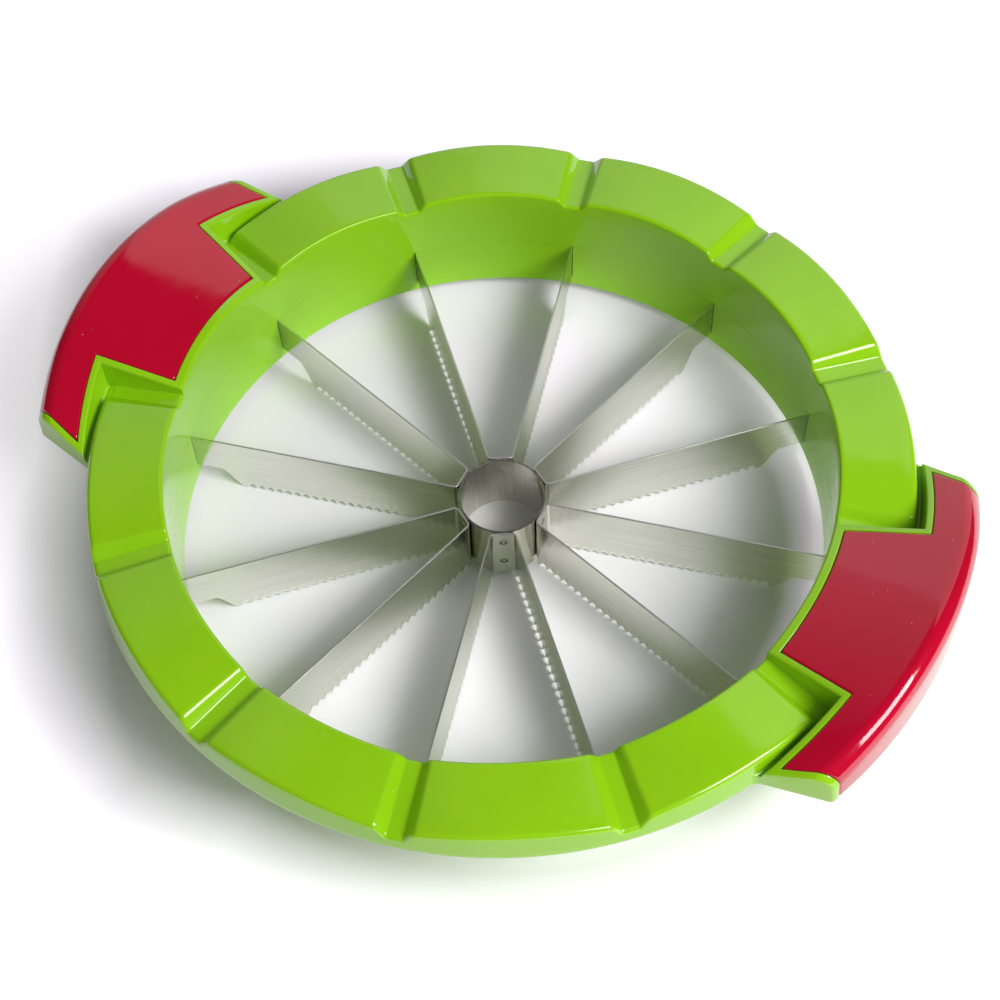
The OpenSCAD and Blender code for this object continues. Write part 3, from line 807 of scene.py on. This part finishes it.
@dataclasses.dataclass
class CapLine:
    """One line of a cap's skin, from the opening to the outer wall.

    inset is how far it lies inside its side.
    """

    angle: object
    is_wing: bool
    side: object = None
    inset: float = 0

    def depth(self, r):
        """Depth of the cap's rounded edges under the grip's outline."""
        theta = self.angle(r)
        wing = min(r - CAP_WING_R, end_depth(r, theta) - CAP_INSET)
        stem = min(stem_depth(r, theta) - CAP_INSET, r - CAP_IN_R)
        return edge_drop(wing if self.is_wing else max(stem, wing), CAP_EDGE_R)

    def place(self, r):
        """Radius and angle of a point of the line, with the cap's corners rounded."""
        first = CAP_WING_R if self.is_wing else CAP_IN_R
        if self.side is None or not 0 <= r - first < CAP_CORNER_R:
            return r, self.angle(r)
        a, b = round_corner(r - first, self.inset)
        return first + a, self.side(CAP_INSET + b, first + a)


def cap_rows(line, under):
    """Points of a line of the cap, and the first row on the wings.

    under is how far below the cap's outer skin the points lie.
    """
    near = list(reversed(CAP_OFFSETS[1:]))
    radii = [CAP_IN_R + d for d in near] + CAP_STEM_ROWS
    first_wing = len(radii)
    radii += [CAP_WING_R + d for d in near] + CAP_WING_ROWS
    points = []
    for start in radii:
        r, theta = line.place(start)
        depth = max(line.depth(start), under)
        points.append((r, theta, grip_top(r, theta) - depth / math.cos(GRIP_TILT)))

    def wall_depth(r):
        return max(edge_drop(end_depth(r, line.angle(r)) - CAP_INSET, CAP_EDGE_R), under)

    for r, z in outer_profile(line.angle, wall_depth, SKIRT_LOW_Z + CAP_FOOT):
        points.append((r, line.angle(r), z))
    return points, first_wing


def cap_lines():
    """Lines of a cap from its middle to its end."""
    def at(side, is_wing):
        return [CapLine(line_at(side, CAP_INSET + d), is_wing, side, d) for d in CAP_OFFSETS]
    stem, ends = at(stem_angle, False), at(end_angle, True)
    middle = [CapLine(f, False) for f in from_middle(stem[0].angle, CAP_STEPS)]
    wing = [CapLine(between(stem[-1].angle, ends[0].angle, i / CAP_STEPS), True)
            for i in range(1, CAP_STEPS)]
    return middle + stem + wing + ends


def build_cap(name, material, turn, node):
    bm = bmesh.new()
    half = cap_lines()
    lines = [(line, -1) for line in reversed(half[1:])] + [(line, 1) for line in half]
    skins = []
    for under in (0, CAP_T):
        grid = []
        for line, side in lines:
            points, first_wing = cap_rows(line, under)
            grid.append([bm.verts.new(polar(r, side * theta + turn, z)) for r, theta, z in points])
        skins.append(grid)
    top, low = skins

    def has(i, j):
        inside = 0 <= i < len(lines) - 1 and 0 <= j < len(top[0]) - 1
        return inside and (j >= first_wing or not (lines[i][0].is_wing or lines[i + 1][0].is_wing))

    for i in range(len(lines) - 1):
        for j in range(len(top[0]) - 1):
            if not has(i, j):
                continue
            bm.faces.new((top[i][j], top[i][j + 1], top[i + 1][j + 1], top[i + 1][j]))
            bm.faces.new((low[i][j], low[i + 1][j], low[i + 1][j + 1], low[i][j + 1]))
            for (di, dj), (ai, aj), (bi, bj) in CELL_SIDES:
                if not has(i + di, j + dj):
                    bm.faces.new((top[i + ai][j + aj], top[i + bi][j + bj],
                                  low[i + bi][j + bj], low[i + ai][j + aj]))
    loose = [v for v in bm.verts if not v.link_faces]
    bmesh.ops.delete(bm, geom=loose, context="VERTS")
    new_piece(name, bm, material, node)


def smooth_step(low, high, v):
    t = min(1, max(0, (v - low) / (high - low)))
    return t * t * (3 - 2 * t)


def scallop(r, run):
    """How deep a place along the strip lies in the gap between two teeth, from 0 at a tip to 1.

    On the bridge and the bends, where r is 0, the scallops go by the run along the strip from the
    bridge's middle.
    """
    tooth = max(0, (r - TEETH_IN_R) / TOOTH_PITCH)
    if r == 0 and run <= TOOTH_PITCH / 2:
        tooth = run / TOOTH_PITCH + 0.5
    elif r == 0:
        tooth = max(0, (run - BEND_END + TOOTH_PITCH) / TOOTH_PITCH)
    return math.sin(math.pi * (tooth % 1)) ** SCALLOP_POWER if tooth < TOOTH_COUNT else 0


def blade_low(r, run):
    """Height of the strip's lower edge: scalloped, then the step up to the tab."""
    if r < TEETH_OUT_R:
        return TOOTH_D * scallop(r, run)
    t = min(1, max(0, (r - STEP_IN_R) / (TAB_IN_R - STEP_IN_R)))
    return TAB_Z * (0.55 * t + 0.45 * smooth_step(0, 1, t))


# Places along a strip: on the bridge, round the bend, and by radius before and after the teeth
BRIDGE_ROWS = (0, 0.4, 0.8, 1.2, 1.6, 1.9, TOOTH_PITCH / 2, 2.6, 3.1)
BEND_STEPS, BLADE_START_R = 12, TEETH_IN_R - 0.4
STEP_ROWS = [120.2, STEP_IN_R, 121.6, 122.4, 123.6, 125, 126.4, 127.6, 128.4, TAB_IN_R]
TAB_ROWS = [130, 133, 137, 141, BLADE_OUT_R]
BLADE_MID_Z, LEAST_BEVEL = 16, 0.15


def blade_stations():
    """Places along half a strip, from the bridge's middle to a blade's end.

    Each is a point, the direction of one side, the radius and the run.
    """
    made = [(BRIDGE_X, y, 1, 0, 0, y) for y in BRIDGE_ROWS]
    for i in range(BEND_STEPS + 1):
        a = math.pi - (math.pi / 2 - HALF_PITCH) * i / BEND_STEPS
        c, s = math.cos(a), math.sin(a)
        run = BEND_Y + BEND_MID_R * (math.pi - a)
        made.append((BEND_X + BEND_MID_R * c, BEND_Y + BEND_MID_R * s, -c, -s, 0, run))
    radii = [BLADE_START_R]
    radii += [TEETH_IN_R + i * TOOTH_PITCH / TOOTH_STEPS
              for i in range(TOOTH_COUNT * TOOTH_STEPS + 1)]
    c, s = math.cos(HALF_PITCH), math.sin(HALF_PITCH)
    made += [(r * c, r * s, s, -c, r, 0) for r in radii + STEP_ROWS + TAB_ROWS]
    return made


def blade_section(r, run):
    """Closed outline across the strip: offset to the side and height."""
    half = BLADE_T / 2
    low = blade_low(r, run)
    ground = scallop(r, run) if r > 0 else 0
    bevel = low + max(LEAST_BEVEL, FACET_H * ground)
    inner, outer = half - GROUND_IN * ground, GROUND_OUT * ground - half
    return [(inner, low), (half, bevel), (half, BLADE_MID_Z), (half, BLADE_H - CHAMFER),
            (half - CHAMFER, BLADE_H), (CHAMFER - half, BLADE_H), (-half, BLADE_H - CHAMFER),
            (-half, BLADE_MID_Z), (-half, bevel), (outer, low)]


WELD_PROFILE = [(0, 0.10), (0.4, 0.09), (0.7, 0.01), (1.15, 0.01), (1.35, 0.15), (1.6, 0.17),
                (1.85, 0.09), (2.0, -0.05), (0, -0.05)]
WELD_STEPS = 28


def draw_weld(bm, z, x):
    """Ring mark of a spot weld on the bridge."""
    before = len(bm.verts)
    draw_lathe(bm, WELD_PROFILE, (0, 0), WELD_STEPS)
    bm.verts.ensure_lookup_table()
    for v in bm.verts[before:]:
        v.co = Vector((x + v.co.z, v.co.x, z + v.co.y))


def build_blades(number, material):
    bm = bmesh.new()
    half = blade_stations()
    stations = [(x, -y, nx, -ny, r, run) for x, y, nx, ny, r, run in reversed(half[1:])] + half
    loops = []
    for x, y, nx, ny, r, run in stations:
        loops.append([bm.verts.new((x + d * nx, y + d * ny, z)) for d, z in blade_section(r, run)])
    for a, b in zip(loops, loops[1:]):
        join_loops(bm, a, b)
    bm.faces.new(loops[0])
    bm.faces.new(loops[-1])
    for z in WELD_HEIGHTS:
        draw_weld(bm, z, BRIDGE_X + BLADE_T / 2)
    turn = Matrix.Rotation(math.radians(60 * (number - 1)), 3, "Z")
    bmesh.ops.rotate(bm, verts=bm.verts, cent=(0, 0, 0), matrix=turn)
    new_piece(f"blade_strip_{number}", bm, material, f"blade_pair_{number}")


TUBE_STEPS, TUBE_ROWS, TUBE_EASE, DENT_D, DENT_SPREAD = 180, 40, 0.15, 0.3, 2.2
TUBE_OUT_ROWS = (0, 8, 16, 24, BLADE_H)


def weld_dent(a, z):
    """Depth of the dents that the welding left on the tube's inside."""
    off = ((a + PAIR_PITCH / 2) % PAIR_PITCH - PAIR_PITCH / 2) * TUBE_R
    return sum(DENT_D * math.exp(-(off * off + (z - w) ** 2) / DENT_SPREAD) for w in WELD_HEIGHTS)


def build_tube(material):
    """Core tube with eased rims and dents behind the welds."""
    bm = bmesh.new()
    bore_r = TUBE_R - TUBE_WALL

    def wall(r, heights, is_dented):
        return [(r, min(max(z, TUBE_EASE), BLADE_H - TUBE_EASE), is_dented) for z in heights]

    profile = [(TUBE_R - TUBE_EASE, 0, False)] + wall(TUBE_R, TUBE_OUT_ROWS, False)
    profile += [(r, BLADE_H, False) for r in (TUBE_R - TUBE_EASE, bore_r + TUBE_EASE)]
    profile += wall(bore_r, [BLADE_H * i / TUBE_ROWS for i in range(TUBE_ROWS, -1, -1)], True)
    profile.append((bore_r + TUBE_EASE, 0, False))
    rings = []
    for r, z, is_dented in profile:
        ring = []
        for i in range(TUBE_STEPS):
            a = 2 * math.pi * i / TUBE_STEPS
            ring.append(bm.verts.new(polar(r + (weld_dent(a, z) if is_dented else 0), a, z)))
        rings.append(ring)
    join_rings(bm, rings + rings[:1], TUBE_STEPS)
    new_piece("hub_tube", bm, material, "core_tube")


# Screws: the cross recess, the dish of the head's face, its side from the face up, and the thread
SCREW_R, HEAD_R, HEAD_H, SCREW_STEPS = 1.5, 4.3, 2.4, 64
CROSS_HALF_W, CROSS_HALF_L, CROSS_D, CROSS_EASE = 0.45, 2.1, 1.3, (-0.25, 0.12)
FACE_ROWS, FACE_DISH, FACE_R = [0.25 + 0.16 * i for i in range(17)], 0.12, 3
HEAD_ROWS = ((3.4, 2.2), (3.85, 1.85), (4.15, 1.4), (HEAD_R, 0.8), (HEAD_R, 0.1), (HEAD_R - 0.1, 0))
THREAD_PITCH, THREAD_D = 0.5, 0.28
RING_SCREW_Z, RING_SCREW_L, GRIP_SCREW_L = 28.5, 16, 6.6


def cross_depth(x, y):
    """Depth of the cross recess in a screw head."""
    x, y = abs(x), abs(y)
    arm = min(max(x - CROSS_HALF_W, y - CROSS_HALF_L), max(y - CROSS_HALF_W, x - CROSS_HALF_L))
    return CROSS_D * (1 - smooth_step(*CROSS_EASE, arm))


def draw_screw(bm, x, y, z, length):
    """Pan-head screw, head downwards, with its bearing face at z."""
    def ring(r, height_of):
        points = enumerate(circle_points(r, SCREW_STEPS))
        return [bm.verts.new((x + px, y + py, height_of(i, px, py))) for i, (px, py) in points]

    face_z = z - HEAD_H
    rings = [[bm.verts.new((x, y, face_z + CROSS_D))]]
    for r in FACE_ROWS:
        dish = face_z + FACE_DISH * (r / FACE_R) ** 2
        rings.append(ring(r, lambda i, px, py: dish + cross_depth(px, py)))
    for r, h in HEAD_ROWS:
        rings.append(ring(r, lambda i, px, py: z - h))
    turns = int(length / THREAD_PITCH)
    for k in range(turns):
        climb = THREAD_PITCH if 0 < k < turns - 1 else 0
        root = z + THREAD_PITCH * k
        rings.append(ring(SCREW_R - (0 if k % 2 else THREAD_D),
                          lambda i, px, py: root + climb * i / SCREW_STEPS))
    rings.append([bm.verts.new((x, y, z + length))])
    join_rings(bm, rings, SCREW_STEPS)


def build_screws(material):
    bm = bmesh.new()
    for x, y in POST_PLACES:
        draw_screw(bm, x, y, RING_SCREW_Z, RING_SCREW_L)
    new_piece("ring_screw_set", bm, material, "ring_screws")
    bm = bmesh.new()
    for facing in (1, -1):
        for side in (1, -1):
            draw_screw(bm, facing * BOSS_X, side * BOSS_Y, SEAT_Z, GRIP_SCREW_L)
    new_piece("grip_screw_set", bm, material, "grip_screws")


build_ring(green)
build_cap("cap_right", red, 0, "grip_cap_right")
build_cap("cap_left", red, math.pi, "grip_cap_left")
for number in range(1, 7):
    build_blades(number, blade_steel)
build_tube(tube_steel)
build_screws(screw_steel)
# The lower ring keeps the model's own mesh
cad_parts["lower_ring"].data.materials.clear()
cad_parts["lower_ring"].data.materials.append(green)


# Floor, in metres. In each pair of distances a change begins at the first and ends at the second.
FLOOR_R, FLOOR_Z, FLOOR_SIDES = 6, -0.3 * MM, 128
TUBE_EDGE, HUB_TO_WALL, RING_TO_OPENING = (0.017, 0.024), (0.035, 0.1), (0.16, 0.14)
FAR_OUT, FAR_GLOW = (0.5, 1.5), 0.5
ACROSS, ACROSS_LEAN = (0.04, -0.09), 0.2
# Floor colours: darker inside the tube, a painted shade; lilac tints, stronger on the left, painted
# to cancel the green bounce light in the shadows
PAINTED_TUBE_SHADE, HUB_BASE = (0.75, 0.75, 0.75, 1), (0.92, 0.912, 0.924, 1)
RIGHT_TINT_AGAINST_BOUNCE, LEFT_TINT_AGAINST_BOUNCE = (0.918, 0.904, 0.93, 1), (0.918, 0.86, 0.965, 1)
# Where the floor's glow begins and ends, a painted fade of the cast shadow, and its least and full
# glow; first seen directly, then mirrored
SHADOW_FADE_START, SHADOW_FADE_END, SHADOW_LEAST, SHADOW_FULL = (0.19, 0.235), (0.235, 0.335), (0, 0.05), 0.5
# How much nearer the painted fade ends, along y on its left side, and in front
SHADOW_LEADS = ((-0.06, 0.06, 0.0145, -0.05), (0.1, 0.18, 0, 0.042), (-0.12, -0.165, 0, -0.011))
SHADOW_SIDE, FRONT_LEAD = (-0.03, -0.08), 0.03
# Painted light that the floor's glow adds inside the opening, and its painted tints
# A painted strip of light on the floor by the right wall, seen directly and in reflections
WALL_LEAK, LEAK_SIDE, LEAK_GLOW = (0.124, 0.138), (0.04, 0.09), 0.28
# Painted bounce light that the floor sends onto the object
BOUNCE_GLOW = 0.28
# Painted fill that lightens the shadows in front and behind, not on the left, whiter where it is
# strong
FILL_LEAN, FILL_EDGE, FILL_SIDE, FILL_GLOW, FILL_WHITE = 0.6, (0, 0.045), (-0.075, -0.02), 0.07, 8
# A brighter painted reflection of the floor on the left
LEFT_REFLECTION_EDGE, LEFT_REFLECTION_GLOW = (-0.03, -0.1), 0.1
# Lilac tints of the glow seen directly, painted to cancel the green bounce in the shadows
RIGHT_FILL, LEFT_FILL = (1, 0.8, 1.1, 1), (1.05, 0.35, 1.5, 1)
# Colours of the glow in reflections and bounce: olive, a painted green bounce; pale by the right
# wall and on the left
OLIVE_PAINTED_REFLECTION, PALE_PAINTED_REFLECTION = (1.1, 1.4, 0.4, 1), (1, 1.05, 0.9, 1)


def build_floor():
    """White floor that keeps the object's shadow, and glows so that it is white further out; by
    place its glow and tints also paint light and shade.
    """
    bpy.ops.mesh.primitive_circle_add(vertices=FLOOR_SIDES, radius=FLOOR_R, fill_type="NGON",
                                      location=(0, 0, FLOOR_Z))
    floor = bpy.context.object
    floor.name = "floor"
    made, g, put = new_material("floor_white")
    put("Roughness", 1)
    put("Specular IOR Level", 0)
    light = g.node("ShaderNodeLightPath").outputs
    camera, glossy = light["Is Camera Ray"], light["Is Glossy Ray"]
    seen = g.add(g.add(camera, glossy, True), light["Is Transmission Ray"], True)
    x, y, _ = g.split(g.place())
    far = g.length(x, y)

    # Painted shade inside the tube, and painted lilac tints against the green bounce further out
    off_tube = g.ramp(far, *TUBE_EDGE)
    by_wall = g.ramp(far, *HUB_TO_WALL)
    leftward = g.ramp(g.sub(x, g.mul(y, ACROSS_LEAN)), *ACROSS)
    base = g.mix(by_wall, HUB_BASE, g.mix(leftward, RIGHT_TINT_AGAINST_BOUNCE, LEFT_TINT_AGAINST_BOUNCE))
    put("Base Color", g.mix(off_tube, PAINTED_TUBE_SHADE, base))

    def by_ray(direct, mirrored):
        return g.ramp(glossy, 0, 1, direct, mirrored)

    # Painted fade of the cast shadow: the floor's glow grows outward, from a distance that changes
    # with the side
    lead = functools.reduce(g.add, [g.ramp(y, *values) for values in SHADOW_LEADS])
    lead = g.add(g.mul(g.ramp(x, *SHADOW_SIDE), lead), g.ramp(x, *SHADOW_SIDE, FRONT_LEAD, 0))
    outside = g.ramp(g.add(far, g.mul(lead, camera)), by_ray(*SHADOW_FADE_START), by_ray(*SHADOW_FADE_END),
                     by_ray(*SHADOW_LEAST), SHADOW_FULL)
    outside = g.add(outside, g.ramp(far, *FAR_OUT, 0, FAR_GLOW))

    within = g.mul(off_tube, g.ramp(far, *RING_TO_OPENING))
    # Painted strip of light by the right wall
    leak = g.mul(g.ramp(far, *WALL_LEAK), g.ramp(x, *LEAK_SIDE))
    outside = g.add(outside, g.mul(g.mul(leak, within), LEAK_GLOW))
    # Painted bounce light, painted fill in the shadows and a painted brighter reflection on the
    # left
    bounce = g.mul(light["Is Diffuse Ray"], BOUNCE_GLOW)
    aside = g.sub(g.math("ABSOLUTE", y), g.mul(g.math("ABSOLUTE", x), FILL_LEAN))
    fill = g.mul(g.ramp(aside, *FILL_EDGE), g.ramp(x, *FILL_SIDE))
    fill = g.mul(fill, g.mul(camera, FILL_GLOW))
    left = g.mul(g.ramp(x, *LEFT_REFLECTION_EDGE), glossy)
    added = g.add(g.add(bounce, fill), g.mul(left, LEFT_REFLECTION_GLOW))

    # Painted tints of the glow: lilac seen directly, olive and pale in reflections and bounce
    direct = g.mix(by_wall, WHITE, g.mix(leftward, RIGHT_FILL, LEFT_FILL))
    direct = g.mix(g.mul(fill, FILL_WHITE), direct, WHITE)
    painted_reflection_tint = g.mix(g.math("MAXIMUM", left, leak), OLIVE_PAINTED_REFLECTION, PALE_PAINTED_REFLECTION)
    put("Emission Color", g.mix(within, WHITE, g.mix(camera, painted_reflection_tint, direct)))
    strength = g.add(g.mul(seen, outside), g.mul(within, added))
    put("Emission Strength", strength)
    made.cycles.emission_sampling = "NONE"
    floor.data.materials.append(made)


build_floor()


LAMP_DISTANCE = 1.7


def area_light(name, azimuth, elevation, width, height, power):
    """A soft box at a direction from the object, given in degrees, facing it."""
    data = bpy.data.lights.new(name, "AREA")
    data.shape = "RECTANGLE"
    data.size = width
    data.size_y = height
    data.energy = power
    lamp = bpy.data.objects.new(name, data)
    bpy.context.scene.collection.objects.link(lamp)
    a, e = math.radians(azimuth), math.radians(elevation)
    out = Vector((math.cos(a) * math.cos(e), math.sin(a) * math.cos(e), math.sin(e)))
    lamp.location = out * LAMP_DISTANCE
    lamp.rotation_euler = (-lamp.location).to_track_quat("-Z", "Y").to_euler()
    return lamp


area_light("key", -6, 46.5, 0.75, 0.65, 18)
area_light("key_soft", -6, 46.5, 1.5, 1.2, 12.6).visible_glossy = False
area_light("strip", 10, 45, 0.2, 0.45, 1.6)

# The room by direction: soft light from above, and a pale panel and wall that only reflections show
SKY = (0.2, 0.8, 0.36, 0.2)
PANEL, PANEL_LEAN, PANEL_LEAST = (0.47, 0.5, 0, 0.78), 0.15, 0.04
PANEL_END, PANEL_END_LEAN = (0.37, 0.41), 2.3
WALL_RISE, WALL_SIDE = (0.04, 0.85, 0, 0.85), (-0.25, -0.45)


def build_world():
    world = bpy.data.worlds.new("studio")
    bpy.context.scene.world = world
    world.use_nodes = True
    g = Graph(world.node_tree)
    back = world.node_tree.nodes["Background"]
    across, behind, up = g.split(g.node("ShaderNodeTexCoord").outputs["Generated"])
    light = g.node("ShaderNodeLightPath").outputs
    seen = g.add(light["Is Glossy Ray"], light["Is Transmission Ray"], True)
    panel = g.ramp(g.add(behind, g.mul(across, PANEL_LEAN)), *PANEL)
    end = g.ramp(g.sub(behind, g.mul(across, PANEL_END_LEAN)), *PANEL_END)
    panel = g.add(g.mul(panel, end), PANEL_LEAST)
    wall = g.mul(g.ramp(behind, *WALL_RISE), g.ramp(across, *WALL_SIDE))
    mirrored = g.mul(g.math("MAXIMUM", panel, wall), seen)
    shade = g.add(g.mul(g.ramp(up, *SKY), g.sub(1, seen)), mirrored)
    grey = g.join(shade, shade, shade)
    g.put(back.inputs["Color"], g.mix(light["Is Camera Ray"], grey, WHITE))
    back.inputs["Strength"].default_value = 1


build_world()

# Camera at the photograph's place
FOCAL_PX = 1977.2387
ELEVATION = math.radians(58.53685)
AZIMUTH = math.radians(30.50234)
ROLL = math.radians(-2.49210)
DISTANCE = 880.5763 * MM
IMAGE_PX = 1000
OFFSET_PX = (3.47983, 34.70599)
SENSOR = 36
CLIP = (0.01, 50)


def build_camera():
    data = bpy.data.cameras.new("camera")
    data.sensor_fit = "HORIZONTAL"
    data.sensor_width = SENSOR
    data.lens = FOCAL_PX * SENSOR / IMAGE_PX
    data.shift_x = -OFFSET_PX[0] / IMAGE_PX
    data.shift_y = OFFSET_PX[1] / IMAGE_PX
    data.clip_start, data.clip_end = CLIP
    camera = bpy.data.objects.new("camera", data)
    bpy.context.scene.collection.objects.link(camera)
    flat = math.cos(ELEVATION)
    back = Vector((math.sin(AZIMUTH) * flat, -math.cos(AZIMUTH) * flat, math.sin(ELEVATION)))
    right = Vector((math.cos(AZIMUTH), math.sin(AZIMUTH), 0))
    up = back.cross(right)
    across = math.cos(ROLL) * right + math.sin(ROLL) * up
    upward = -math.sin(ROLL) * right + math.cos(ROLL) * up
    turn = Matrix((across, upward, back)).transposed().to_4x4()
    camera.matrix_world = Matrix.Translation(back * DISTANCE) @ turn
    bpy.context.scene.camera = camera


build_camera()
bpy.context.scene.view_settings.view_transform = "Standard"
